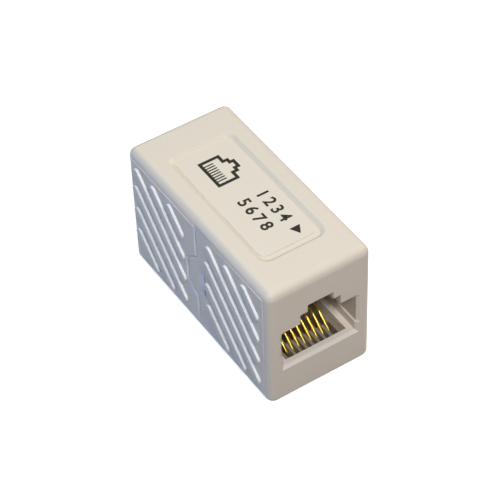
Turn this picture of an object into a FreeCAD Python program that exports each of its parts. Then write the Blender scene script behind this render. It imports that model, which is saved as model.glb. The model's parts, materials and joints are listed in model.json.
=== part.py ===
"""Inline coupler for two modular network plugs.

Two moulded half shells snap together at mid-length and trap a small circuit
board with a contact carrier at each end. Eight spring wires a side rise from
the carrier's comb into the plug socket.

Axes: +Z up, Y along the coupler, the socket in front opens towards -Y.
Origin: middle of the underside. Lengths in millimetres.
"""

import FreeCAD
import Part
import math
import os

V = FreeCAD.Vector

# Housing
body_width = 17.0
body_height = 22.0
body_length = 36.0
edge_radius = 1.3
side_wall = 1.5
floor_wall = 1.5
top_wall = 1.5
end_wall = 1.2
seam_gap = 0.05
seam_bevel = 0.2
dimple_radius = 0.2
dimple_depth = 0.25
dimple_behind_seam = 0.45
cut_margin = 1.0
join_depth = 0.1

# Raised pad and grip ribs on each side
pad_height = 0.1
pad_border = 1.3
pad_bevel = 0.06
rib_count = 6
rib_pitch = 3.06
rib_width = 1.36
rib_height = 0.38
rib_angle = 45.0
rib_field_low = 2.05
rib_field_high = 19.95
front_rib_start = -15.9
front_rib_end = -2.35
front_rib_shift = -0.72
rear_rib_start = 2.9
rear_rib_end = 16.2
rear_rib_shift = -0.68

# Tongue of the front shell in the rear shell, and the snap between them
tongue_reach = 2.45
tongue_middle = 10.7
tongue_root_height = 8.2
tongue_tip_height = 4.1
tongue_round = 0.5
window_start = 0.55
window_length = 1.65
window_height = 4.3
window_middle = 10.4
hook_clearance = 0.06
hook_depth_below_pad = 0.26
hook_ramp = 0.35
arm_thickness = 1.0
arm_clearance = 0.1
arm_tip = 0.5
arm_root = 2.4

# Label on the top and the recess that it lies in
label_length = 22.8
label_width = 8.9
label_thickness = 0.12
label_round = 1.0
label_end_clearance = 0.45
label_side_clearance = 0.35
label_shift_x = -0.25
label_shift_y = 0.3
recess_depth = 0.38
recess_slope = 0.3
recess_round = 1.1

# Plug socket, measured inside its lead-in
socket_width = 12.3
socket_floor = 6.74
socket_top = 13.9
socket_round = 0.7
rail_width = 0.2
rail_height = 1.5
latch_step_width = 6.4
latch_step_top = 15.6
latch_notch_width = 4.0
latch_notch_top = 16.9
latch_shoulder_depth = 2.0
socket_depth = 12.5
socket_wall = 1.2
lead_in = 0.42
lead_in_top = 0.12

# Circuit board
board_thickness = 1.2
board_rail_height = 1.0
board_rail_width = 1.4
board_side_clearance = 0.25
board_end_clearance = 0.6
board_hole = 0.66

# Contact carrier
pit_width = 10.1
carrier_clearance = 0.12
carrier_ledge_clearance = 0.06
carrier_base_clearance = 0.48
comb_top = 5.95
comb_length = 3.0
cheek_width = 0.72
carrier_back_thickness = 2.1
carrier_back_gap = 0.1
carrier_back_top_clearance = 0.3
rear_slot_depth = 1.3
rear_slot_top = 10.9

# Spring contacts
contact_count = 8
contact_pitch = 1.016
contact_width = 0.42
contact_thickness = 0.36
contact_slot_width = 0.56
contact_run_height = 4.5
contact_nose = 3.1
contact_nose_radius = 0.5
contact_tail_radius = 0.35
contact_rise_angle = 38.5
contact_knee_depth = 5.65
contact_knee_radius = 1.2
contact_tip_angle = 17.0
contact_tip_clearance = 0.4
contact_tail_depth = 10.4
contact_tail_stagger = 2.54
contact_tail_below_board = 0.6

recess_floor_length = label_length + 2 * label_end_clearance
recess_floor_width = label_width + 2 * label_side_clearance
half_width = body_width / 2
half_length = body_length / 2
inner_half_width = half_width - side_wall
board_bottom = floor_wall + board_rail_height
board_top = board_bottom + board_thickness


def box(x0, x1, y0, y1, z0, z1):
    """Box between two corners."""
    return Part.makeBox(x1 - x0, y1 - y0, z1 - z0, V(x0, y0, z0))


def half_turn(shape):
    """Copy turned half a turn about Z, from the front end to the rear end."""
    turned = shape.copy()
    turned.rotate(V(0, 0, 0), V(0, 0, 1), 180)
    return turned


def both_sides(shape):
    """The shape and its mirror image in X."""
    return [shape, shape.mirror(V(0, 0, 0), V(1, 0, 0))]


def rounded_wire(corners):
    """Closed wire through (point, radius) corners, each radius made a tangent arc."""
    count = len(corners)
    ends = []
    for index, (corner, radius) in enumerate(corners):
        before = (corners[index - 1][0] - corner).normalize()
        after = (corners[(index + 1) % count][0] - corner).normalize()
        if radius <= 0:
            ends.append((corner, None, corner))
            continue
        half = before.getAngle(after) / 2
        reach = radius / math.tan(half)
        middle = (before + after).normalize()
        crown = corner + middle * (radius / math.sin(half) - radius)
        ends.append((corner + before * reach, crown, corner + after * reach))
    edges = []
    for index, (start, crown, finish) in enumerate(ends):
        if crown is not None:
            edges.append(Part.Arc(start, crown, finish).toShape())
        following = ends[(index + 1) % count][0]
        if (following - finish).Length > 1e-6:
            edges.append(Part.makeLine(finish, following))
    return Part.Wire(edges)


def rounded_rectangle(width, length, radius, middle_x, middle_y, z):
    """Closed wire of a rounded rectangle at a height."""
    x0, x1 = middle_x - width / 2, middle_x + width / 2
    y0, y1 = middle_y - length / 2, middle_y + length / 2
    corners = [V(x0, y0, z), V(x1, y0, z), V(x1, y1, z), V(x0, y1, z)]
    return rounded_wire([(corner, radius) for corner in corners])


def socket_wire(y, grow, grow_top):
    """Outline of the plug socket in a plane across Y.

    The main opening is for the plug's body, the two steps above it for the
    latch's shoulders and its lever. A low rail guides the plug on each side.
    """
    main = socket_width / 2 + grow
    guided = main - rail_width
    step = latch_step_width / 2 + grow_top
    notch = latch_notch_width / 2 + grow_top
    floor = socket_floor - grow
    rail = socket_floor + rail_height
    right = [
        (guided, floor, 0.0),
        (guided, rail, 0.0),
        (main, rail + rail_width, 0.0),
        (main, socket_top + grow_top, socket_round),
        (step, socket_top + grow_top, 0.0),
        (step, latch_step_top + grow_top, 0.0),
        (notch, latch_step_top + grow_top, 0.0),
        (notch, latch_notch_top + grow_top, 0.0),
    ]
    left = [(-x, z, radius) for x, z, radius in reversed(right)]
    return rounded_wire([(V(x, y, z), radius) for x, z, radius in right + left])


def extrude(wire, vector):
    """Prism on a closed wire."""
    return Part.Face(wire).extrude(vector)


def tongue_prism(x0, x1, grow):
    """Trapezoid tongue across the seam, between two X planes, grown all round."""
    slope = math.atan2((tongue_root_height - tongue_tip_height) / 2, tongue_reach)
    spread = grow / math.cos(slope)
    root = tongue_root_height / 2 + spread
    tip = tongue_tip_height / 2 + spread - grow * math.tan(slope)
    reach = tongue_reach + grow
    corners = [
        (V(x0, -cut_margin, tongue_middle - root), 0.0),
        (V(x0, 0, tongue_middle - root), 0.0),
        (V(x0, reach, tongue_middle - tip), tongue_round + grow),
        (V(x0, reach, tongue_middle + tip), tongue_round + grow),
        (V(x0, 0, tongue_middle + root), 0.0),
        (V(x0, -cut_margin, tongue_middle + root), 0.0),
    ]
    return extrude(rounded_wire(corners), V(x1 - x0, 0, 0))


def rib_lines(start, end, shift):
    """Centre lines of one group of diagonal ribs, clipped to their field.

    The ribs fall towards -Y. Each line is kept between the field's ends, less
    half a rib, so that its round ends stay inside.
    """
    lean = math.tan(math.radians(rib_angle))
    step = rib_pitch / math.sin(math.radians(rib_angle))
    inset = rib_width / 2
    y_low, y_high = start + inset, end - inset
    z_low, z_high = rib_field_low + inset, rib_field_high - inset
    middle_y = (start + end) / 2
    middle_z = (rib_field_low + rib_field_high) / 2
    lines = []
    for index in range(rib_count):
        offset = (index - (rib_count - 1) / 2) * step + shift
        ends = []
        for y in (y_low, y_high):
            z = middle_z + (y - middle_y - offset) * lean
            if z < z_low:
                y, z = middle_y + offset + (z_low - middle_z) / lean, z_low
            if z > z_high:
                y, z = middle_y + offset + (z_high - middle_z) / lean, z_high
            ends.append((y, z))
        lines.append(ends)
    return lines


def rib(x, ends):
    """One raised rib with round ends, on the plane at x."""
    radius = rib_width / 2
    (y0, z0), (y1, z1) = ends
    low, high = V(x, y0, z0), V(x, y1, z1)
    nose = (high - low).normalize() * radius
    across = V(0, -nose.z, nose.y)
    edges = [
        Part.makeLine(low + across, high + across),
        Part.Arc(high + across, high + nose, high - across).toShape(),
        Part.makeLine(high - across, low - across),
        Part.Arc(low - across, low - nose, low + across).toShape(),
    ]
    return extrude(Part.Wire(edges), V(rib_height, 0, 0))


def pad(y0, y1):
    """Thin raised pad on the right side, its rim bevelled."""
    low, high = pad_border, body_height - pad_border
    face = half_width + pad_height
    solid = box(half_width - side_wall / 2, face, y0, y1, low, high)
    rim = [edge for edge in solid.Edges if edge.BoundBox.XMin > face - 1e-4]
    return solid.makeChamfer(pad_bevel, rim)


def outer_body():
    """Rounded block of both shells, with pads and the recess for the label."""
    block = box(-half_width, half_width, -half_length, half_length, 0, body_height)
    block = block.makeFillet(edge_radius, block.Edges)
    side_pad = pad(pad_border - half_length, half_length - pad_border)
    block = block.fuse(both_sides(side_pad))
    outlines = []
    for rise in (0, recess_depth + cut_margin):
        grow = recess_slope * rise / recess_depth
        width = recess_floor_width + 2 * grow
        length = recess_floor_length + 2 * grow
        z = body_height - recess_depth + rise
        outlines.append(rounded_rectangle(width, length, recess_round + grow, 0, 0, z))
    return block.cut(Part.makeLoft(outlines, True, True))


def socket_cut():
    """Space of the socket in front: lead-in, guided opening and latch pocket."""
    front = -half_length
    mouth = Part.makeLoft(
        [socket_wire(front, lead_in, lead_in_top), socket_wire(front + lead_in, 0, 0)], True, True
    )
    length = socket_depth - lead_in
    guided = extrude(socket_wire(front + lead_in, 0, 0), V(0, length, 0))
    half_step = latch_step_width / 2
    shoulder = front + latch_shoulder_depth
    latch = box(-half_step, half_step, shoulder, front + socket_depth, socket_top, latch_notch_top)
    return mouth.fuse([guided, latch])


def seam_region(front):
    """Space that one half shell may fill, split at the seam and its tongues."""
    near = seam_gap / 2
    half = box(-body_width, body_width, near, body_length, -cut_margin, body_height + cut_margin)
    if front:
        tongue = tongue_prism(inner_half_width, body_width, 0)
        return half_turn(half).fuse(both_sides(tongue))
    notch = tongue_prism(inner_half_width - join_depth, body_width, seam_gap)
    return half.cut(both_sides(notch))


def half_body(front):
    """Solid half of the housing, its seam bevelled where it crosses the pads."""
    skin = outer_body()
    region = seam_region(front)
    half = skin.common(region).removeSplitter()
    outline = []
    for edge in half.Edges:
        middle = Part.Vertex(edge.valueAt((edge.FirstParameter + edge.LastParameter) / 2))
        on_skin = middle.distToShape(skin.Shells[0])[0] < 1e-5
        on_cut = middle.distToShape(region.Shells[0])[0] < 1e-5
        on_pad = abs(abs(middle.X) - half_width - pad_height) < 1e-5
        if on_skin and on_cut and on_pad:
            outline.append(edge)
    return half.makeChamfer(seam_bevel, outline)


def hollow():
    """What is open in the front half: space for board and carrier, pit and socket."""
    front = -half_length
    core_top = body_height - recess_depth - top_wall
    core = box(-inner_half_width, inner_half_width, front + end_wall, 0, floor_wall, core_top)
    tunnel = extrude(socket_wire(front, socket_wall, socket_wall), V(0, socket_depth, 0))
    pit_half = pit_width / 2
    pit = box(-pit_half, pit_half, front + end_wall, front + socket_depth, floor_wall, socket_floor)
    return core.cut(tunnel).fuse([pit, socket_cut()])


def board_rails():
    """Two rails on the floor of the front half that carry the board."""
    front = end_wall - half_length - join_depth
    inner = inner_half_width - board_rail_width
    outer = inner_half_width + join_depth
    rail = box(inner, outer, front, -seam_gap / 2, floor_wall - join_depth, board_bottom)
    return both_sides(rail)


def with_ribs(shell, start, end, shift):
    """The shell with one group of grip ribs on each side."""
    for ends in rib_lines(start, end, shift):
        shell = shell.fuse(both_sides(rib(half_width + pad_height, ends)))
    return shell.removeSplitter()


def front_shell():
    """Half shell of the shown end, with the outer tongues and snap windows."""
    shell = half_body(True).cut(hollow()).fuse(board_rails())
    window = box(
        inner_half_width - join_depth,
        body_width,
        -window_start - window_length,
        -window_start,
        window_middle - window_height / 2,
        window_middle + window_height / 2,
    )
    shell = shell.cut(both_sides(window))
    return with_ribs(shell, front_rib_start, front_rib_end, front_rib_shift)


def catch_arm():
    """Snap arm inside the right wall: it crosses the seam and its hook fills the window."""
    outer = inner_half_width - arm_clearance
    inner = outer - arm_thickness
    root_start = tongue_reach + seam_gap + hook_clearance
    tip = -window_start - window_length - arm_tip
    bottom = window_middle - window_height / 2 + hook_clearance
    top = window_middle + window_height / 2 - hook_clearance
    arm = box(inner, outer, tip, root_start + arm_root, bottom, top)
    foot_inner, foot_outer = outer - join_depth, inner_half_width + join_depth
    foot = box(foot_inner, foot_outer, root_start, root_start + arm_root, bottom, top)
    face = half_width + pad_height - hook_depth_below_pad
    catch = -window_start - hook_clearance
    start = -window_start - window_length + hook_clearance
    corners = [
        V(outer - join_depth, start, bottom),
        V(outer, start, bottom),
        V(face, start + hook_ramp, bottom),
        V(face, catch, bottom),
        V(outer - join_depth, catch, bottom),
    ]
    wire = Part.makePolygon(corners + [corners[0]])
    hook = extrude(wire, V(0, 0, top - bottom))
    return arm.fuse([foot, hook])


def dimples():
    """Small round dimples in the pads' upper edges, just behind the seam."""
    bottom = half_width + pad_height - dimple_depth
    place = V(bottom, dimple_behind_seam, body_height - pad_border)
    return both_sides(Part.makeCylinder(dimple_radius, dimple_depth + cut_margin, place, V(1, 0, 0)))


def rear_shell():
    """Half shell of the far end, notched for the tongues, with the snap arms."""
    rails = [half_turn(rail) for rail in board_rails()]
    shell = half_body(False).cut(half_turn(hollow())).fuse(rails)
    shell = shell.fuse(both_sides(catch_arm())).cut(dimples())
    return with_ribs(shell, rear_rib_start, rear_rib_end, rear_rib_shift)


def contact_x(index):
    """Place across the socket of contact 0 to 7."""
    return (index - (contact_count - 1) / 2) * contact_pitch


def tail_depth(index):
    """Depth of a contact's tail behind the mouth: two staggered rows."""
    return contact_tail_depth + (index % 2) * contact_tail_stagger


def contact_carrier():
    """Insert of the front socket: base on the board, comb, and the wall behind the plug."""
    front = -half_length
    back = front + socket_depth + carrier_back_gap
    pit_half = pit_width / 2 - carrier_clearance
    base_half = inner_half_width - carrier_base_clearance
    base_front = front + end_wall + carrier_clearance
    base_top = socket_floor - socket_wall - carrier_ledge_clearance
    base = box(-base_half, base_half, base_front, back + carrier_back_thickness, board_top, base_top)
    comb_back = front + end_wall + comb_length
    comb = box(-pit_half, pit_half, base_front, comb_back, board_top, comb_top)
    wall_half = inner_half_width - arm_clearance - arm_thickness - carrier_clearance
    wall_half = min(wall_half, socket_width / 2)
    wall_top = socket_top - carrier_back_top_clearance
    wall = box(-wall_half, wall_half, back, back + carrier_back_thickness, board_top, wall_top)
    upper_half = latch_step_width / 2 - carrier_back_top_clearance
    upper_top = latch_notch_top - carrier_back_top_clearance
    upper = box(-upper_half, upper_half, back, back + carrier_back_thickness, board_top, upper_top)
    carrier = base.fuse([comb, wall, upper])
    slot = contact_slot_width / 2
    slot_floor = contact_run_height - slot
    start, over = base_front - cut_margin, comb_top + cut_margin
    end, cheek = comb_back + cut_margin, pit_half - cheek_width
    gap = box(contact_x(contact_count - 1), cheek, start, end, slot_floor, over)
    carrier = carrier.cut(both_sides(gap))
    for index in range(contact_count):
        x = contact_x(index)
        tail = front + tail_depth(index)
        channel = box(x - slot, x + slot, start, tail + slot, slot_floor, over)
        drop = box(x - slot, x + slot, tail - slot, tail + slot, board_top - cut_margin, slot_floor)
        rest = box(x - slot, x + slot, back, back + rear_slot_depth, comb_top, rear_slot_top)
        carrier = carrier.cut(channel.fuse([drop, rest]))
    return carrier.removeSplitter()


def contact(index):
    """Spring wire: tail in the board, run along the carrier, nose bend, rise, knee and tip."""
    front = -half_length
    x = contact_x(index)
    rise = math.radians(contact_rise_angle)
    tip_rise = math.radians(contact_tip_angle)
    tail = front + tail_depth(index)
    reach = contact_nose_radius / math.tan(rise / 2)
    corner = front + contact_nose + contact_nose_radius - reach
    knee_y = front + contact_knee_depth
    knee_z = contact_run_height + (knee_y - corner) * math.tan(rise)
    tip_y = front + socket_depth + carrier_back_gap + rear_slot_depth - contact_tip_clearance
    tip_z = knee_z + (tip_y - knee_y) * math.tan(tip_rise)
    points = [
        (V(x, tail, board_bottom - contact_tail_below_board), 0.0),
        (V(x, tail, contact_run_height), contact_tail_radius),
        (V(x, corner, contact_run_height), contact_nose_radius),
        (V(x, knee_y, knee_z), contact_knee_radius),
        (V(x, tip_y, tip_z), 0.0),
    ]
    edges = []
    last = points[0][0]
    for before, (point, radius), after in zip(points, points[1:], points[2:]):
        back = (before[0] - point).normalize()
        ahead = (after[0] - point).normalize()
        half = back.getAngle(ahead) / 2
        reach = radius / math.tan(half)
        middle = (back + ahead).normalize()
        crown = point + middle * (radius / math.sin(half) - radius)
        edges.append(Part.makeLine(last, point + back * reach))
        last = point + ahead * reach
        edges.append(Part.Arc(point + back * reach, crown, last).toShape())
    edges.append(Part.makeLine(last, points[-1][0]))
    path = Part.Wire(edges)
    start = points[0][0]
    section = rounded_rectangle(contact_width, contact_thickness, 0, start.x, start.y, start.z)
    return path.makePipeShell([section], True, True).removeSplitter()


def circuit_board():
    """Board under both carriers, with two staggered rows of square holes at each end."""
    half = inner_half_width - board_side_clearance
    end = half_length - end_wall - board_end_clearance
    board = box(-half, half, -end, end, board_bottom, board_top)
    low, high = board_bottom - cut_margin, board_top + cut_margin
    reach = board_hole / 2
    for index in range(contact_count):
        x, y = contact_x(index), -half_length + tail_depth(index)
        hole = box(x - reach, x + reach, y - reach, y + reach, low, high)
        board = board.cut([hole, half_turn(hole)])
    return board


def label():
    """Thin sheet on the floor of the recess."""
    z = body_height - recess_depth
    wire = rounded_rectangle(label_width, label_length, label_round, label_shift_x, label_shift_y, z)
    return extrude(wire, V(0, 0, label_thickness))


def build():
    """Every piece by name."""
    carrier = contact_carrier()
    parts = {
        "front_shell": front_shell(),
        "rear_shell": rear_shell(),
        "front_contact_carrier": carrier,
        "rear_contact_carrier": half_turn(carrier),
        "circuit_board": circuit_board(),
        "label": label(),
    }
    for index in range(contact_count):
        wire = contact(index)
        parts[f"contact_front_{index + 1}"] = wire
        parts[f"contact_rear_{index + 1}"] = half_turn(wire)
    return parts


os.makedirs("parts", exist_ok=True)
for name, shape in build().items():
    shape.exportStep(f"parts/{name}.step")
    print(name, len(shape.Solids), round(shape.Volume, 2), shape.isValid())
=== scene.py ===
"""Scene of a small inline coupler for two modular network plugs.

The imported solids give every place. This file dresses them: housing shells with
softened edges, swept contact wires, moulded inserts, a printed label, a pale
studio floor, lamps and the camera of the reference view.
"""

from __future__ import annotations

import json
import logging
import math
from dataclasses import dataclass
from enum import Enum

import bmesh
import bpy
from mathutils import Matrix, Vector

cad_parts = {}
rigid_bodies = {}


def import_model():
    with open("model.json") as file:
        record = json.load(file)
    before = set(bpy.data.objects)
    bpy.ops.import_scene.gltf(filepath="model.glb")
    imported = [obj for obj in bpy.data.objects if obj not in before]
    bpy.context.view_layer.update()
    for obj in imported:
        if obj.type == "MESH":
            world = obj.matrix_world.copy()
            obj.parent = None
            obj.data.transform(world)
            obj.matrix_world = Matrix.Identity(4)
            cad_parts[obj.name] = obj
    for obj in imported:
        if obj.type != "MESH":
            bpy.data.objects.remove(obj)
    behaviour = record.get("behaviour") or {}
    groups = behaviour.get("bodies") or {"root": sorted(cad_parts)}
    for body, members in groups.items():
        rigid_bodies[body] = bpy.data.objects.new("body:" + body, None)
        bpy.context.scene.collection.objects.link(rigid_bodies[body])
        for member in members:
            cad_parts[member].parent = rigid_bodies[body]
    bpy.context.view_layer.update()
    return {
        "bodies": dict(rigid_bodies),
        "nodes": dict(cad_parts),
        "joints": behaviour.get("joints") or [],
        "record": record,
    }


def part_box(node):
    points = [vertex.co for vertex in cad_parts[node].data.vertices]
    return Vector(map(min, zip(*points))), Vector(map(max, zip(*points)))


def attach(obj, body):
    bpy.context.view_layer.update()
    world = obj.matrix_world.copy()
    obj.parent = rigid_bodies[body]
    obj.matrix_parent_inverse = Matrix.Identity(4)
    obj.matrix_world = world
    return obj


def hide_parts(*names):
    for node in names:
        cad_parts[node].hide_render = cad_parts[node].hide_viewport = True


MM = 0.001
# Points nearer to each other than this become one.
MERGE = 0.0005 * MM
BODY = "root"
# Name of the value on each face that says how much painted highlight it gets.
HIGHLIGHT_ATTRIBUTE = "painted_highlight"
# Slot that marks the rounded edges while a shell is made.
ROUNDED_SLOT = 1
LOG = logging.getLogger("coupler")


def linear(red: float, green: float, blue: float) -> tuple[float, float, float, float]:
    """Turn a display colour into scene light.

    Args:
        red: Red from 0 to 255.
        green: Green from 0 to 255.
        blue: Blue from 0 to 255.

    Returns:
        The colour with full alpha, in linear values.
    """
    channels = []
    for value in (red, green, blue):
        share = value / 255
        channels.append(share / 12.92 if share <= 0.04045 else ((share + 0.055) / 1.055) ** 2.4)
    return (channels[0], channels[1], channels[2], 1.0)


class Skin(Enum):
    """How a moulded surface is textured: grains per metre and the strength of their bump."""

    SATIN = (2600.0, 0.35)
    FINE = (5200.0, 0.2)
    FILM = (1400.0, 0.08)


class MouldedSkin:
    """Node group shared by the finishes: mottled colour, painted highlights, roughness and grain.
    """

    name = "moulded_skin"
    mottle_scale = 90.0
    mottle_detail = 3.0
    grain_detail = 2.0
    grain_roughness = 0.6

    @classmethod
    def group(cls) -> bpy.types.NodeTree:
        """Build the group once.

        Returns:
            The shader node group.
        """
        found = bpy.data.node_groups.get(cls.name)
        if found:
            return found
        tree = bpy.data.node_groups.new(cls.name, "ShaderNodeTree")
        face = tree.interface
        face.new_socket("Vector", in_out="INPUT", socket_type="NodeSocketVector")
        for label, kind, value in (
            ("Colour", "NodeSocketColor", (0.8, 0.8, 0.8, 1.0)),
            ("Shade", "NodeSocketColor", (0.7, 0.7, 0.7, 1.0)),
            ("Mottle", "NodeSocketFloat", 0.2),
            ("Highlight Colour", "NodeSocketColor", (0.9, 0.9, 0.9, 1.0)),
            ("Highlight Share", "NodeSocketFloat", 0.0),
            ("Grain Scale", "NodeSocketFloat", 2200.0),
            ("Roughness", "NodeSocketFloat", 0.5),
            ("Roughness Spread", "NodeSocketFloat", 0.1),
        ):
            socket = face.new_socket(label, in_out="INPUT", socket_type=kind)
            socket.default_value = value
        face.new_socket("Colour", in_out="OUTPUT", socket_type="NodeSocketColor")
        face.new_socket("Roughness", in_out="OUTPUT", socket_type="NodeSocketFloat")
        face.new_socket("Height", in_out="OUTPUT", socket_type="NodeSocketFloat")
        nodes, links = tree.nodes, tree.links
        source = nodes.new("NodeGroupInput")
        drain = nodes.new("NodeGroupOutput")

        flow = nodes.new("ShaderNodeTexNoise")
        flow.inputs["Scale"].default_value = cls.mottle_scale
        flow.inputs["Detail"].default_value = cls.mottle_detail
        grain = nodes.new("ShaderNodeTexNoise")
        grain.inputs["Detail"].default_value = cls.grain_detail
        grain.inputs["Roughness"].default_value = cls.grain_roughness
        links.new(source.outputs["Vector"], flow.inputs["Vector"])
        links.new(source.outputs["Vector"], grain.inputs["Vector"])
        links.new(source.outputs["Grain Scale"], grain.inputs["Scale"])

        amount = nodes.new("ShaderNodeMath")
        amount.operation = "MULTIPLY"
        links.new(flow.outputs["Fac"], amount.inputs[0])
        links.new(source.outputs["Mottle"], amount.inputs[1])
        colour = nodes.new("ShaderNodeMix")
        colour.data_type = "RGBA"
        links.new(amount.outputs[0], colour.inputs["Factor"])
        links.new(source.outputs["Colour"], colour.inputs["A"])
        links.new(source.outputs["Shade"], colour.inputs["B"])
        # Mix in the paler colour as a painted highlight.
        highlight_colour = nodes.new("ShaderNodeMix")
        highlight_colour.data_type = "RGBA"
        links.new(source.outputs["Highlight Share"], highlight_colour.inputs["Factor"])
        links.new(colour.outputs["Result"], highlight_colour.inputs["A"])
        links.new(source.outputs["Highlight Colour"], highlight_colour.inputs["B"])
        links.new(highlight_colour.outputs["Result"], drain.inputs["Colour"])

        centred = nodes.new("ShaderNodeMath")
        centred.operation = "SUBTRACT"
        centred.inputs[1].default_value = 0.5
        links.new(grain.outputs["Fac"], centred.inputs[0])
        spread = nodes.new("ShaderNodeMath")
        spread.operation = "MULTIPLY_ADD"
        links.new(centred.outputs[0], spread.inputs[0])
        links.new(source.outputs["Roughness Spread"], spread.inputs[1])
        links.new(source.outputs["Roughness"], spread.inputs[2])
        links.new(spread.outputs[0], drain.inputs["Roughness"])
        links.new(grain.outputs["Fac"], drain.inputs["Height"])
        return tree


@dataclass(frozen=True)
class Finish:
    """What every finish shares: two tones that mottle each other, and a grain."""

    name: str
    colour: tuple[float, float, float]
    shade: tuple[float, float, float]

    def skinned(
        self, mottle: float, roughness: float, grain: tuple[float, float], depth: float
    ) -> tuple[bpy.types.Material, bpy.types.Node, bpy.types.Node]:
        """Start a material with the shared skin.

        Args:
            mottle: How much the second tone shows.
            roughness: Mean roughness.
            grain: Grains per metre and the strength of their bump.
            depth: Depth of the grain's bump, in metres.

        Returns:
            The material, its shader and the node of its skin.
        """
        material = bpy.data.materials.new(self.name)
        material.use_nodes = True
        nodes, links = material.node_tree.nodes, material.node_tree.links
        shader = nodes["Principled BSDF"]
        place = nodes.new("ShaderNodeTexCoord")
        skin = nodes.new("ShaderNodeGroup")
        skin.node_tree = MouldedSkin.group()
        skin.inputs["Colour"].default_value = linear(*self.colour)
        skin.inputs["Shade"].default_value = linear(*self.shade)
        skin.inputs["Mottle"].default_value = mottle
        skin.inputs["Grain Scale"].default_value = grain[0]
        skin.inputs["Roughness"].default_value = roughness
        links.new(place.outputs["Object"], skin.inputs["Vector"])
        links.new(skin.outputs["Colour"], shader.inputs["Base Color"])
        links.new(skin.outputs["Roughness"], shader.inputs["Roughness"])
        bump = nodes.new("ShaderNodeBump")
        bump.inputs["Strength"].default_value = grain[1]
        bump.inputs["Distance"].default_value = depth
        links.new(skin.outputs["Height"], bump.inputs["Height"])
        links.new(bump.outputs["Normal"], shader.inputs["Normal"])
        return material, shader, skin


@dataclass(frozen=True)
class Plastic(Finish):
    """A moulded or printed plastic finish, with a paler colour painted on as highlights."""

    skin: Skin
    mottle: float
    roughness: float
    specular: float = 0.4
    depth: float = 0.03 * MM
    highlight_colour: tuple[float, float, float] | None = None

    def material(self) -> bpy.types.Material:
        """Build the material.

        Returns:
            The material, or the one built before under the same name.
        """
        found = bpy.data.materials.get(self.name)
        if found:
            return found
        material, shader, skin = self.skinned(
            self.mottle, self.roughness, self.skin.value, self.depth
        )
        shader.inputs["Specular IOR Level"].default_value = self.specular
        # Paint highlights in the paler colour, as strong as each face's stored value.
        if self.highlight_colour:
            painted_highlight = material.node_tree.nodes.new("ShaderNodeAttribute")
            painted_highlight.attribute_name = HIGHLIGHT_ATTRIBUTE
            skin.inputs["Highlight Colour"].default_value = linear(*self.highlight_colour)
            material.node_tree.links.new(painted_highlight.outputs["Fac"], skin.inputs["Highlight Share"])
        return material


@dataclass(frozen=True)
class Plating(Finish):
    """A plated metal finish with a fine grain."""

    roughness: float
    mottle: float = 0.6
    grain: tuple[float, float] = (9000.0, 0.05)
    depth: float = 0.003 * MM

    def material(self) -> bpy.types.Material:
        """Build the material.

        Returns:
            The material, or the one built before under the same name.
        """
        found = bpy.data.materials.get(self.name)
        if found:
            return found
        material, shader, _ = self.skinned(self.mottle, self.roughness, self.grain, self.depth)
        shader.inputs["Metallic"].default_value = 1.0
        return material


# The worn colour is a painted highlight: bluish white on rib flanks, seam bevels, the snap hook
# and the socket's rims and ledges.
IVORY = Plastic(
    "ivory_housing", (230, 221, 209), (224, 214, 201), Skin.SATIN, 0.5, 0.42, highlight_colour=(242, 243, 246)
)
INSERT = Plastic("insert_plastic", (150, 143, 130), (136, 129, 117), Skin.FINE, 0.4, 0.4)
MASK = Plastic("board_mask", (26, 92, 48), (20, 74, 40), Skin.FILM, 0.6, 0.3)
LABEL_FILM = Plastic("label_film", (231, 223, 212), (227, 218, 206), Skin.FILM, 0.5, 0.36)
INK = Plastic("label_ink", (34, 38, 32), (24, 26, 22), Skin.FILM, 0.4, 0.4)
GOLD = Plating("gold_plating", (255, 226, 108), (246, 204, 84), 0.32)


def finished(
    name: str, mesh: bpy.types.Mesh, finish: Plastic | Plating
) -> bpy.types.Object:
    """Put a finished mesh in the scene on the coupler's body.

    Args:
        name: Name of the piece.
        mesh: Mesh in the coupler's frame, in metres.
        finish: Finish of the whole piece.

    Returns:
        The new object.
    """
    mesh.materials.clear()
    mesh.materials.append(finish.material())
    piece = bpy.data.objects.new(name, mesh)
    bpy.context.scene.collection.objects.link(piece)
    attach(piece, BODY)
    LOG.info("%s: %d faces", name, len(mesh.polygons))
    return piece


def dress(frame: dict, node: str, finish: Plastic | Plating) -> None:
    """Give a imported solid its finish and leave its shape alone.

    Args:
        frame: The loaded frame.
        node: Name of the solid.
        finish: Finish of the whole solid.
    """
    data = frame["nodes"][node].data
    data.materials.clear()
    data.materials.append(finish.material())
    LOG.info("%s: dressed", node)


def evaluated_mesh(source: bpy.types.Object) -> bpy.types.Mesh:
    """Bake an object's modifiers into a new mesh.

    Args:
        source: Object with live modifiers.

    Returns:
        A plain mesh; the source object is removed.
    """
    graph = bpy.context.evaluated_depsgraph_get()
    mesh = bpy.data.meshes.new_from_object(source.evaluated_get(graph))
    bpy.data.objects.remove(source)
    return mesh


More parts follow.
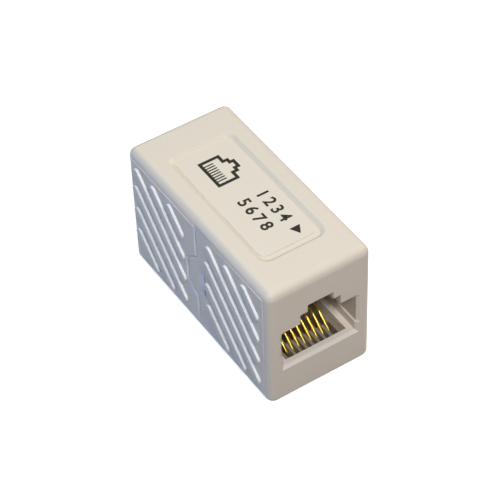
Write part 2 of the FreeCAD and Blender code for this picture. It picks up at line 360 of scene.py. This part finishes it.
@dataclass
class Housing:
    """The two moulded half shells, with rounded edges and painted highlights where light catches
    them.
    """

    # The widest rounding, and the shares of it on other edges and on tight ones.
    edge_round: float = 0.2 * MM
    round_segments: int = 2
    plain_share: float = 0.45
    seam_share: float = 0.07
    flat_angle: float = math.radians(0.6)
    sharp_angle: float = math.radians(28)
    smooth_angle: float = math.radians(30)
    # How near to a place something has to be to count as there.
    near: float = 0.02 * MM
    close: float = 0.01 * MM
    # Distances from the middle to the side, its pads, the ribs' painted highlights, its ribs and
    # its seam groove.
    side_plane: float = 8.3 * MM
    pad_plane: float = 8.6 * MM
    highlight_plane: float = 8.62 * MM
    rib_plane: float = 8.9 * MM
    groove_plane: float = 8.5 * MM
    groove_reach: float = 0.03 * MM
    groove_lean: tuple[float, float] = (0.6, 0.8)
    groove_slope: float = 0.4 * MM
    # The seam on the top and the underside.
    seam_reach: float = 0.1 * MM
    seam_half_gap: float = 0.025 * MM
    seam_shift: float = 0.017 * MM
    # The label recess.
    top_plane: float = 22.0 * MM
    recess_low: float = 21.7 * MM
    recess_side: float = 7.5 * MM
    recess_half: tuple[float, float] = (5.1 * MM, 12.15 * MM)
    recess_spread: float = 0.3 * MM
    # The snap window, as Y and Z of two corners, and the hook in it.
    window_low: tuple[float, float] = (-2.25 * MM, 8.2 * MM)
    window_high: tuple[float, float] = (-0.5 * MM, 12.6 * MM)
    hook_face: float = 8.34 * MM
    hook_front: float = -1.79 * MM
    hook_back: float = -0.61 * MM
    hook_front_lift: float = 0.15 * MM
    hook_back_lift: float = 0.21 * MM
    # The sockets' mouths.
    mouth_side: float = 6.6 * MM
    mouth_depth: float = 5.0 * MM
    mouth_heights: tuple[float, float] = (4.8 * MM, 16.2 * MM)
    # How faces lean where highlights are painted, and how strong the painted highlights are.
    flank_lean: float = 0.97
    ledge_lean: float = 0.5
    seam_highlight: float = 1.0
    hook_highlight: float = 0.8
    ledge_highlight: float = 0.42
    rim_highlight: float = 0.8

    def build(self, frame: dict) -> None:
        """Refine each shell and hide the plain solid under it.

        Args:
            frame: The loaded frame.
        """
        for node in ("front_shell", "rear_shell"):
            mesh = self.softened(frame["nodes"][node], node)
            piece = finished(f"{node}_moulding", mesh, IVORY)
            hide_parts(node)

    def edge_share(self, edge: bmesh.types.BMEdge) -> float:
        """Share of the edge rounding that one edge gets.

        Args:
            edge: Edge of a shell.

        Returns:
            1 on a grip rib, 0 on a smooth edge and on the crisp seam and window of the
            side, little at the label recess and on the tight seam of the top and
            underside, else a medium share.
        """
        if len(edge.link_faces) != 2 or edge.calc_face_angle() < self.sharp_angle:
            return 0.0
        if all(abs(corner.co.x) > self.rib_plane for corner in edge.verts):
            return 1.0
        if any(self.in_groove(face) for face in edge.link_faces) or self.at_window(edge):
            return 0.0
        if all(
            corner.co.z > self.recess_low and abs(corner.co.x) < self.recess_side
            for corner in edge.verts
        ):
            return self.seam_share
        at_seam = all(abs(corner.co.y) < self.seam_reach for corner in edge.verts)
        on_side = all(abs(corner.co.x) > self.side_plane for corner in edge.verts)
        return self.seam_share if at_seam and not on_side else self.plain_share

    def in_groove(self, face: bmesh.types.BMFace) -> bool:
        """Whether a face is a bevel of the seam groove on the side.

        Args:
            face: Face of a shell.

        Returns:
            True on the groove's bevels.
        """
        middle = abs(face.calc_center_median().x)
        low, high = self.groove_lean
        slanted = low < abs(face.normal.x) < high
        return slanted and abs(middle - self.groove_plane) < self.groove_reach

    def at_window(self, edge: bmesh.types.BMEdge) -> bool:
        """Whether an edge lies at the snap window or on the hook in it.

        Args:
            edge: Edge of a shell.

        Returns:
            True at the window.
        """
        (low_y, low_z), (high_y, high_z) = self.window_low, self.window_high
        return all(
            abs(corner.co.x) > self.hook_face - self.near
            and low_y < corner.co.y < high_y
            and low_z < corner.co.z < high_z
            for corner in edge.verts
        )

    def slope_hook(self, work: bmesh.types.BMesh) -> None:
        """Raise the snap hooks' faces, and more at the catch than at the front.

        Args:
            work: Mesh of the rear shell.
        """
        for corner in work.verts:
            if abs(abs(corner.co.x) - self.hook_face) > self.near:
                continue
            if abs(corner.co.y - self.hook_front) < self.near:
                corner.co.x += math.copysign(self.hook_front_lift, corner.co.x)
            elif abs(corner.co.y - self.hook_back) < self.near:
                corner.co.x += math.copysign(self.hook_back_lift, corner.co.x)

    def widen_groove(self, work: bmesh.types.BMesh) -> None:
        """Let the seam groove rise slowly on the front shell's side.

        Args:
            work: Mesh of the front shell.
        """
        rim = [
            corner
            for corner in work.verts
            if abs(abs(corner.co.x) - self.pad_plane) < self.close
            and any(self.in_groove(face) for face in corner.link_faces)
        ]
        bmesh.ops.translate(work, verts=rim, vec=(0, -self.groove_slope, 0))

    def close_seam(self, work: bmesh.types.BMesh) -> None:
        """Bring the shells almost together where the seam isn't on the side.

        Args:
            work: Mesh of a shell.
        """
        for corner in work.verts:
            at_seam = abs(abs(corner.co.y) - self.seam_half_gap) < self.close
            if at_seam and abs(corner.co.x) < self.side_plane:
                corner.co.y -= math.copysign(self.seam_shift, corner.co.y)

    def widen_recess(self, work: bmesh.types.BMesh) -> None:
        """Let the label recess rise slowly to its rim.

        Args:
            work: Mesh of a shell.
        """
        half_x, half_y = self.recess_half
        for corner in work.verts:
            x, y, z = corner.co
            inside = abs(x) < half_x + self.near and abs(y) < half_y + self.near
            if inside and abs(z - self.top_plane) < self.near:
                corner.co.x = x * (1 + self.recess_spread / half_x)
                corner.co.y = y * (1 + self.recess_spread / half_y)

    def softened(self, solid: bpy.types.Object, name: str) -> bpy.types.Mesh:
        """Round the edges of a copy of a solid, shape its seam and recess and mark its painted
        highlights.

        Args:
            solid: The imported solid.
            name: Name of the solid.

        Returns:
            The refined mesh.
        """
        work = bmesh.new()
        work.from_mesh(solid.data)
        bmesh.ops.remove_doubles(work, verts=work.verts, dist=MERGE)
        bmesh.ops.dissolve_limit(
            work,
            angle_limit=self.flat_angle,
            verts=work.verts,
            edges=work.edges,
            use_dissolve_boundaries=False,
        )
        weight = work.edges.layers.float.new("bevel_weight_edge")
        for edge in work.edges:
            edge[weight] = self.edge_share(edge)
        self.close_seam(work)
        self.widen_recess(work)
        if name == "rear_shell":
            self.slope_hook(work)
        else:
            self.widen_groove(work)
        mesh = bpy.data.meshes.new(f"{name}_copy")
        work.to_mesh(mesh)
        work.free()
        holder = bpy.data.objects.new(f"{name}_copy", mesh)
        bpy.context.scene.collection.objects.link(holder)
        bevel = holder.modifiers.new("edge_round", "BEVEL")
        bevel.limit_method = "WEIGHT"
        bevel.width = self.edge_round
        bevel.segments = self.round_segments
        bevel.use_clamp_overlap = True
        bevel.miter_outer = "MITER_ARC"
        for _ in range(ROUNDED_SLOT + 1):
            mesh.materials.append(None)
        bevel.material = ROUNDED_SLOT
        rounded = evaluated_mesh(holder)
        rounded.shade_smooth()
        rounded.set_sharp_from_angle(angle=self.smooth_angle)
        holder = bpy.data.objects.new(f"{name}_rounded", rounded)
        bpy.context.scene.collection.objects.link(holder)
        even = holder.modifiers.new("even_normals", "WEIGHTED_NORMAL")
        even.mode = "FACE_AREA"
        even.keep_sharp = True
        done = evaluated_mesh(holder)
        self.paint_highlights(done)
        return done

    def paint_highlights(self, mesh: bpy.types.Mesh) -> None:
        """Store on each face how much painted highlight it gets.

        Args:
            mesh: Finished mesh of a shell, with its rounded edges in their own slot.
        """
        marks = mesh.attributes.new(HIGHLIGHT_ATTRIBUTE, "FLOAT", "FACE")
        for mark, face in zip(marks.data, mesh.polygons):
            mark.value = self.highlight_share(face)
            face.material_index = 0

    def highlight_share(self, face: bpy.types.MeshPolygon) -> float:
        """How much painted highlight one face gets.

        Args:
            face: Face of a finished shell.

        Returns:
            1 on a grip rib's flanks and rounded edges and on the seam's bevels, less on
            the snap hook's face and on the rims and up-facing ledges of the socket's mouth, else
            0.
        """
        # Every share below paints a highlight: rib flanks, seam bevels, socket rims and ledges,
        # the hook face.
        across, lean = abs(face.center.x), abs(face.normal.x)
        is_rounded = face.material_index == ROUNDED_SLOT
        if across > self.highlight_plane and (is_rounded or lean < self.flank_lean):
            return 1.0
        low, high = self.groove_lean
        if low < lean < high and abs(across - self.groove_plane) < self.groove_reach:
            return self.seam_highlight
        floor, roof = self.mouth_heights
        at_end = across < self.mouth_side and abs(face.center.y) > self.mouth_depth
        if at_end and floor < face.center.z < roof:
            if is_rounded:
                return self.rim_highlight
            return self.ledge_highlight if face.normal.z > self.ledge_lean else 0.0
        (low_y, low_z), (high_y, high_z) = self.window_low, self.window_high
        in_window = low_y < face.center.y < high_y and low_z < face.center.z < high_z
        on_hook = in_window and abs(across - self.hook_face) < self.hook_back_lift
        return self.hook_highlight if on_hook else 0.0


@dataclass
class ContactRow:
    """Eight spring wires of one socket, swept along their bent centre line."""

    count: int = 8
    pitch: float = 1.016 * MM
    # The oval section.
    width: float = 0.5 * MM
    thickness: float = 0.4 * MM
    # The centre line: the mouth's distance from the middle, then depths from the mouth,
    # heights from the underside, slopes, and radii of the bends.
    mouth: float = 18.0 * MM
    run_height: float = 4.5 * MM
    nose: float = 3.1 * MM
    nose_radius: float = 0.5 * MM
    tail_radius: float = 0.35 * MM
    rise: float = math.radians(38.5)
    knee_depth: float = 5.65 * MM
    knee_radius: float = 1.2 * MM
    tip_rise: float = math.radians(17.0)
    tip_depth: float = 13.5 * MM
    tail_depth: float = 10.4 * MM
    tail_stagger: float = 2.54 * MM
    tail_low: float = 1.9 * MM
    # How finely the bends and the section are divided.
    bend_steps: int = 9
    round_steps: int = 18
    smooth_angle: float = math.radians(50)

    def corners(self, stagger: bool) -> list[tuple[Vector, float]]:
        """Corner points of the centre line with the radius of each bend.

        Args:
            stagger: Whether the tail is in the deeper row of holes.

        Returns:
            Points in the plane X = 0 and their bend radii.
        """
        tail = self.tail_depth + (self.tail_stagger if stagger else 0.0) - self.mouth
        reach = self.nose_radius / math.tan(self.rise / 2)
        corner = self.nose + self.nose_radius - reach - self.mouth
        knee = self.knee_depth - self.mouth
        knee_height = self.run_height + (knee - corner) * math.tan(self.rise)
        tip = self.tip_depth - self.mouth
        tip_height = knee_height + (tip - knee) * math.tan(self.tip_rise)
        return [
            (Vector((0, tail, self.tail_low)), 0.0),
            (Vector((0, tail, self.run_height)), self.tail_radius),
            (Vector((0, corner, self.run_height)), self.nose_radius),
            (Vector((0, knee, knee_height)), self.knee_radius),
            (Vector((0, tip, tip_height)), 0.0),
        ]

    def centre_line(self, stagger: bool) -> list[Vector]:
        """Points along the bent wire.

        Args:
            stagger: Whether the tail is in the deeper row of holes.

        Returns:
            Points from the tail to the tip.
        """
        corners = self.corners(stagger)
        line = [corners[0][0]]
        for (before, _), (point, radius), (after, _) in zip(corners, corners[1:], corners[2:]):
            back = (before - point).normalized()
            ahead = (after - point).normalized()
            half = back.angle(ahead) / 2
            start = point + back * (radius / math.tan(half))
            centre = point + (back + ahead).normalized() * (radius / math.sin(half))
            turn = math.pi - 2 * half
            spoke = start - centre
            axis = back.cross(ahead).normalized()
            for step in range(self.bend_steps + 1):
                spin = Matrix.Rotation(-turn * step / self.bend_steps, 3, axis)
                line.append(centre + spin @ spoke)
        line.append(corners[-1][0])
        return line

    def tree(self) -> bpy.types.NodeTree:
        """Geometry tree that sweeps a centre line and repeats it across the socket.

        Returns:
            The node tree, built once.
        """
        found = bpy.data.node_groups.get("contact_row")
        if found:
            return found
        tree = bpy.data.node_groups.new("contact_row", "GeometryNodeTree")
        face = tree.interface
        face.new_socket("Centre Line", in_out="INPUT", socket_type="NodeSocketGeometry")
        face.new_socket("Count", in_out="INPUT", socket_type="NodeSocketInt")
        for label in ("Pitch", "First", "Width", "Thickness"):
            face.new_socket(label, in_out="INPUT", socket_type="NodeSocketFloat")
        face.new_socket("Wires", in_out="OUTPUT", socket_type="NodeSocketGeometry")
        nodes, links = tree.nodes, tree.links
        source = nodes.new("NodeGroupInput")
        drain = nodes.new("NodeGroupOutput")
        ring = nodes.new("GeometryNodeCurvePrimitiveCircle")
        ring.inputs["Resolution"].default_value = self.round_steps
        ring.inputs["Radius"].default_value = 0.5
        oval = nodes.new("ShaderNodeCombineXYZ")
        oval.inputs["Z"].default_value = 1.0
        links.new(source.outputs["Thickness"], oval.inputs["X"])
        links.new(source.outputs["Width"], oval.inputs["Y"])
        section = nodes.new("GeometryNodeTransform")
        links.new(ring.outputs["Curve"], section.inputs["Geometry"])
        links.new(oval.outputs["Vector"], section.inputs["Scale"])
        sweep = nodes.new("GeometryNodeCurveToMesh")
        sweep.inputs["Fill Caps"].default_value = True
        links.new(source.outputs["Centre Line"], sweep.inputs["Curve"])
        links.new(section.outputs["Geometry"], sweep.inputs["Profile Curve"])
        step = nodes.new("ShaderNodeCombineXYZ")
        links.new(source.outputs["Pitch"], step.inputs["X"])
        first = nodes.new("ShaderNodeCombineXYZ")
        links.new(source.outputs["First"], first.inputs["X"])
        places = nodes.new("GeometryNodeMeshLine")
        places.mode = "OFFSET"
        links.new(source.outputs["Count"], places.inputs["Count"])
        links.new(first.outputs["Vector"], places.inputs["Start Location"])
        links.new(step.outputs["Vector"], places.inputs["Offset"])
        copies = nodes.new("GeometryNodeInstanceOnPoints")
        links.new(places.outputs["Mesh"], copies.inputs["Points"])
        links.new(sweep.outputs["Mesh"], copies.inputs["Instance"])
        real = nodes.new("GeometryNodeRealizeInstances")
        links.new(copies.outputs["Instances"], real.inputs["Geometry"])
        dress = nodes.new("GeometryNodeSetMaterial")
        dress.inputs["Material"].default_value = GOLD.material()
        links.new(real.outputs["Geometry"], dress.inputs["Geometry"])
        links.new(dress.outputs["Geometry"], drain.inputs["Wires"])
        return tree

    def row(self, stagger: bool) -> bpy.types.Mesh:
        """Every second wire, as one mesh.

        Args:
            stagger: Whether these are the wires with the deeper tails.

        Returns:
            The mesh of the wires in the front socket.
        """
        points = self.centre_line(stagger)
        curve = bpy.data.curves.new("wire_line", "CURVE")
        curve.dimensions = "3D"
        spline = curve.splines.new("POLY")
        spline.points.add(len(points) - 1)
        for place, point in zip(spline.points, points):
            place.co = (*point, 1.0)
        holder = bpy.data.objects.new("wire_line", curve)
        bpy.context.scene.collection.objects.link(holder)
        modifier = holder.modifiers.new("row", "NODES")
        modifier.node_group = self.tree()
        first = (int(stagger) - (self.count - 1) / 2) * self.pitch
        values = {
            "Count": self.count // 2,
            "Pitch": 2 * self.pitch,
            "First": first,
            "Width": self.width,
            "Thickness": self.thickness,
        }
        for item in modifier.node_group.interface.items_tree:
            if item.in_out == "INPUT" and item.name in values:
                modifier[item.identifier] = values[item.name]
        mesh = evaluated_mesh(holder)
        mesh.shade_smooth()
        mesh.set_sharp_from_angle(angle=self.smooth_angle)
        return mesh

    def build(self) -> None:
        """Make the wires of both sockets and hide the plain ones."""
        for end, turn in (("front", 0.0), ("rear", math.pi)):
            for stagger in (False, True):
                mesh = self.row(stagger)
                mesh.transform(Matrix.Rotation(turn, 4, "Z"))
                piece = finished(f"{end}_wires_{'b' if stagger else 'a'}", mesh, GOLD)
                start = 2 if stagger else 1
                names = [f"contact_{end}_{number}" for number in range(start, self.count + 1, 2)]
                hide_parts(*names)


@dataclass
class Inside:
    """The moulded inserts and the board, which keep their solids."""

    def build(self, frame: dict) -> None:
        """Dress the inserts and the board.

        Args:
            frame: The loaded frame.
        """
        finishes = {
            "front_contact_carrier": INSERT,
            "rear_contact_carrier": INSERT,
            "circuit_board": MASK,
        }
        for node, finish in finishes.items():
            dress(frame, node, finish)


@dataclass
class TopLabel:
    """The thin label and its generic print: a socket sign and contact numbers."""

    # The room under the print, and the print's thickness.
    lift: float = 0.004 * MM
    ink: float = 0.012 * MM
    # The sign's pen width, size and place.
    stroke: float = 0.5 * MM
    sign_width: float = 5.6 * MM
    sign_height: float = 4.9 * MM
    sign_place: tuple[float, float] = (0.3 * MM, 6.4 * MM)
    # The sign's steps, as shares of half its width and half its height.
    body_top: float = 0.45
    step_side: float = 0.55
    step_top: float = 0.75
    notch_side: float = 0.32
    tick_count: int = 8
    tick_pitch: float = 0.5 * MM
    tick_width: float = 0.22 * MM
    tick_length: float = 1.5 * MM
    # Each row of numbers, with the X and Y of its lower left corner.
    rows: tuple[tuple[str, float, float], ...] = (
        ("1 2 3 4", 1.3 * MM, -0.2 * MM),
        ("5 6 7 8", -1.7 * MM, -0.2 * MM),
    )
    digit_height: float = 1.9 * MM
    # A digit's height in the font, and how much its strokes are thickened.
    font_height: float = 0.73
    thickening: float = 0.03
    word_space: float = 0.75
    pointer_place: tuple[float, float] = (2.2 * MM, -9.3 * MM)
    pointer_half: float = 0.85 * MM
    pointer_back: float = 0.8

    def build(self, frame: dict) -> None:
        """Dress the sheet and print on it.

        Args:
            frame: The loaded frame.
        """
        dress(frame, "label", LABEL_FILM)
        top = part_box("label")[1].z
        work = bmesh.new()
        self.sign(work)
        for digits, x, y in self.rows:
            self.line_of_digits(work, digits, Vector((x, y, self.ink / 2)))
        self.pointer(work)
        bmesh.ops.translate(work, verts=work.verts, vec=(0, 0, top + self.lift))
        bmesh.ops.remove_doubles(work, verts=work.verts, dist=MERGE)
        bmesh.ops.recalc_face_normals(work, faces=work.faces)
        mesh = bpy.data.meshes.new("label_print")
        work.to_mesh(mesh)
        work.free()
        finished("label_print", mesh, INK)

    def slab(self, work: bmesh.types.BMesh, corners: list[tuple[float, float]]) -> None:
        """Add one flat printed shape.

        Args:
            work: Mesh to add to.
            corners: Outline in X and Y, anticlockwise from above.
        """
        low = [work.verts.new((x, y, 0)) for x, y in corners]
        high = [work.verts.new((x, y, self.ink)) for x, y in corners]
        work.faces.new(high)
        work.faces.new(list(reversed(low)))
        count = len(corners)
        for index in range(count):
            after = (index + 1) % count
            work.faces.new((low[index], low[after], high[after], high[index]))

    def sign(self, work: bmesh.types.BMesh) -> None:
        """Outline of a plug socket with its eight contacts.

        Args:
            work: Mesh to add to.
        """
        middle_x, middle_y = self.sign_place
        half_w, half_h, pen = self.sign_width / 2, self.sign_height / 2, self.stroke
        outer = self.socket_outline(half_w, half_h, 0.0)
        inner = self.socket_outline(half_w, half_h, pen)
        count = len(outer)
        rings = []
        for height in (0.0, self.ink):
            rings.append([work.verts.new((middle_x + x, middle_y + y, height)) for x, y in outer])
            rings.append([work.verts.new((middle_x + x, middle_y + y, height)) for x, y in inner])
        low_out, low_in, high_out, high_in = rings
        for index in range(count):
            after = (index + 1) % count
            work.faces.new((high_out[index], high_out[after], high_in[after], high_in[index]))
            work.faces.new((low_out[after], low_out[index], low_in[index], low_in[after]))
            work.faces.new((low_out[index], low_out[after], high_out[after], high_out[index]))
            work.faces.new((low_in[after], low_in[index], high_in[index], high_in[after]))
        x0 = middle_x - half_h + pen
        x1 = x0 + self.tick_length
        for number in range(self.tick_count):
            across = (number - (self.tick_count - 1) / 2) * self.tick_pitch
            y0 = middle_y - across - self.tick_width / 2
            y1 = middle_y - across + self.tick_width / 2
            self.slab(work, [(x0, y0), (x1, y0), (x1, y1), (x0, y1)])

    def socket_outline(
        self, half_w: float, half_h: float, inset: float
    ) -> list[tuple[float, float]]:
        """Stepped outline of a socket seen from the front, turned to read along the label.

        Args:
            half_w: Half its width.
            half_h: Half its height.
            inset: How far inside the outer outline it runs.

        Returns:
            Corners in X and Y, with the latch towards +X.
        """
        w, low = half_w - inset, -half_h + inset
        body_top = half_h * self.body_top - inset
        step, step_top = half_w * self.step_side - inset, half_h * self.step_top - inset
        notch, top = half_w * self.notch_side - inset, half_h - inset
        right = [
            (w, low),
            (w, body_top),
            (step, body_top),
            (step, step_top),
            (notch, step_top),
            (notch, top),
        ]
        outline = right + [(-x, z) for x, z in reversed(right)]
        return [(z, -x) for x, z in outline]

    def line_of_digits(self, work: bmesh.types.BMesh, digits: str, start: Vector) -> None:
        """Print a row of numbers that reads towards the front socket.

        Args:
            work: Mesh to add to.
            digits: The numbers.
            start: Lower left corner of the row, at half the print's thickness.
        """
        text = bpy.data.curves.new("digits", "FONT")
        text.body = digits
        text.size = self.digit_height / self.font_height
        text.offset = self.thickening * self.digit_height
        text.extrude = self.ink / 2
        text.space_word = self.word_space
        holder = bpy.data.objects.new("digits", text)
        bpy.context.scene.collection.objects.link(holder)
        mesh = evaluated_mesh(holder)
        mesh.transform(Matrix.Rotation(-math.pi / 2, 4, "Z"))
        mesh.transform(Matrix.Translation(start))
        work.from_mesh(mesh)
        bpy.data.meshes.remove(mesh)

    def pointer(self, work: bmesh.types.BMesh) -> None:
        """Print a small solid triangle that points to the front socket.

        Args:
            work: Mesh to add to.
        """
        x, y = self.pointer_place
        half = self.pointer_half
        back = y + half * self.pointer_back
        self.slab(work, [(x, y - half), (x + half, back), (x - half, back)])


@dataclass(frozen=True)
class Lamp:
    """A square lamp seen from the coupler, with its distance and size in metres.

    Its level is the share of its own colour that it adds to a surface that faces it.
    """

    name: str
    towards: tuple[float, float, float]
    distance: float
    size: float
    level: float
    tint: tuple[float, float, float]


LAMPS = (
    Lamp("key", (-0.212, -0.584, 0.784), 0.42, 0.09, 0.665, (255, 247, 241)),
    Lamp("over", (0.10, 0.50, 0.86), 0.42, 0.17, 0.20, (255, 238, 218)),
    Lamp("over_left", (-0.468, 0.041, 0.883), 0.42, 0.17, 0.12, (110, 245, 240)),
    Lamp("side", (-0.90, 0.35, 0.25), 0.42, 0.17, 0.19, (60, 110, 255)),
    Lamp("right", (0.80, 0.25, 0.55), 0.42, 0.15, 0.32, (255, 242, 230)),
)


@dataclass
class Studio:
    """Pale floor, soft lamps and the camera of the reference view."""

    # The camera, with its lens and sensor in millimetres.
    azimuth: float = math.radians(-31.879)
    elevation: float = math.radians(45.955)
    roll: float = math.radians(-2.168)
    distance: float = 294.71 * MM
    shift_right: float = -0.258 * MM
    shift_up: float = -0.087 * MM
    focal: float = 149.96
    sensor: float = 36.0
    clips: tuple[float, float] = (0.01, 10.0)
    middle_height: float = 11.0 * MM
    # The floor is white to the camera and dark to the light that it throws back.
    floor_half: float = 3.0
    floor_drop: float = 0.02 * MM
    floor_roughness: float = 0.9
    floor_dark: tuple[float, float, float, float] = (0.035, 0.037, 0.045, 1.0)
    floor_white: tuple[float, float, float, float] = (0.92, 0.92, 0.92, 1.0)
    floor_glow: float = 0.7
    # The sky, and how much of it lights the coupler.
    sky: tuple[float, float, float, float] = (0.86, 0.93, 1.06, 1.0)
    sky_share: float = 0.1

    def camera(self) -> None:
        """Place the camera."""
        back = Vector(
            (
                math.sin(self.azimuth) * math.cos(self.elevation),
                -math.cos(self.azimuth) * math.cos(self.elevation),
                math.sin(self.elevation),
            )
        )
        level = (-back).cross(Vector((0, 0, 1))).normalized()
        upright = level.cross(-back)
        right = level * math.cos(self.roll) + upright * math.sin(self.roll)
        up = upright * math.cos(self.roll) - level * math.sin(self.roll)
        place = Vector((0, 0, self.middle_height)) + back * self.distance
        place = place - right * self.shift_right - up * self.shift_up
        data = bpy.data.cameras.new("reference_view")
        data.lens = self.focal
        data.sensor_width = self.sensor
        data.clip_start, data.clip_end = self.clips
        view = bpy.data.objects.new("reference_view", data)
        turn = Matrix((right, up, back)).transposed().to_4x4()
        view.matrix_world = Matrix.Translation(place) @ turn
        bpy.context.scene.collection.objects.link(view)
        bpy.context.scene.camera = view

    def lamp(self, lamp: Lamp) -> None:
        """Add a square soft lamp that faces the coupler.

        Args:
            lamp: Where it stands and how bright it is.
        """
        data = bpy.data.lights.new(lamp.name, "AREA")
        data.shape = "SQUARE"
        data.size = lamp.size
        data.energy = lamp.level * (math.pi * lamp.distance) ** 2
        data.color = linear(*lamp.tint)[:3]
        towards = Vector(lamp.towards).normalized()
        light = bpy.data.objects.new(lamp.name, data)
        light.location = Vector((0, 0, self.middle_height)) + towards * lamp.distance
        light.rotation_euler = towards.to_track_quat("Z", "Y").to_euler()
        bpy.context.scene.collection.objects.link(light)

    def floor(self) -> None:
        """Lay a pale floor that shows white and keeps a soft shadow."""
        mesh = bpy.data.meshes.new("floor")
        half, low = self.floor_half, -self.floor_drop
        corners = [(-half, -half, low), (half, -half, low), (half, half, low), (-half, half, low)]
        mesh.from_pydata(corners, [], [(0, 1, 2, 3)])
        material = bpy.data.materials.new("pale_floor")
        material.use_nodes = True
        nodes, links = material.node_tree.nodes, material.node_tree.links
        shader = nodes["Principled BSDF"]
        shader.inputs["Roughness"].default_value = self.floor_roughness
        shader.inputs["Specular IOR Level"].default_value = 0.0
        shader.inputs["Emission Color"].default_value = (1, 1, 1, 1)
        path = nodes.new("ShaderNodeLightPath")
        seen = nodes.new("ShaderNodeMath")
        seen.operation = "MAXIMUM"
        links.new(path.outputs["Is Camera Ray"], seen.inputs[0])
        links.new(path.outputs["Is Glossy Ray"], seen.inputs[1])
        shown = nodes.new("ShaderNodeMath")
        shown.operation = "MAXIMUM"
        links.new(seen.outputs[0], shown.inputs[0])
        links.new(path.outputs["Is Transmission Ray"], shown.inputs[1])
        colour = nodes.new("ShaderNodeMix")
        colour.data_type = "RGBA"
        colour.inputs["A"].default_value = self.floor_dark
        colour.inputs["B"].default_value = self.floor_white
        links.new(shown.outputs[0], colour.inputs["Factor"])
        links.new(colour.outputs["Result"], shader.inputs["Base Color"])
        glow = nodes.new("ShaderNodeMath")
        glow.operation = "MULTIPLY"
        glow.inputs[1].default_value = self.floor_glow
        links.new(shown.outputs[0], glow.inputs[0])
        links.new(glow.outputs[0], shader.inputs["Emission Strength"])
        mesh.materials.append(material)
        ground = bpy.data.objects.new("floor", mesh)
        bpy.context.scene.collection.objects.link(ground)

    def world(self) -> None:
        """Set a weak even sky, at full strength where the camera sees it."""
        world = bpy.data.worlds.new("studio")
        world.use_nodes = True
        nodes, links = world.node_tree.nodes, world.node_tree.links
        shade = nodes["Background"]
        shade.inputs["Color"].default_value = self.sky
        path = nodes.new("ShaderNodeLightPath")
        level = nodes.new("ShaderNodeMapRange")
        level.inputs["To Min"].default_value = self.sky_share
        level.inputs["To Max"].default_value = 1.0
        links.new(path.outputs["Is Camera Ray"], level.inputs["Value"])
        links.new(level.outputs["Result"], shade.inputs["Strength"])
        bpy.context.scene.world = world

    def build(self) -> None:
        """Set the stage, the lamps, the view transform and the camera."""
        bpy.context.scene.view_settings.view_transform = "Standard"
        self.world()
        self.floor()
        for lamp in LAMPS:
            self.lamp(lamp)
        self.camera()


def main() -> None:
    """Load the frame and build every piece."""
    logging.basicConfig(level=logging.INFO, format="%(name)s: %(message)s")
    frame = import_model()
    Studio().build()
    Housing().build(frame)
    Inside().build(frame)
    ContactRow().build()
    TopLabel().build(frame)
    LOG.info("sizes written")


if __name__ == "__main__":
    main()
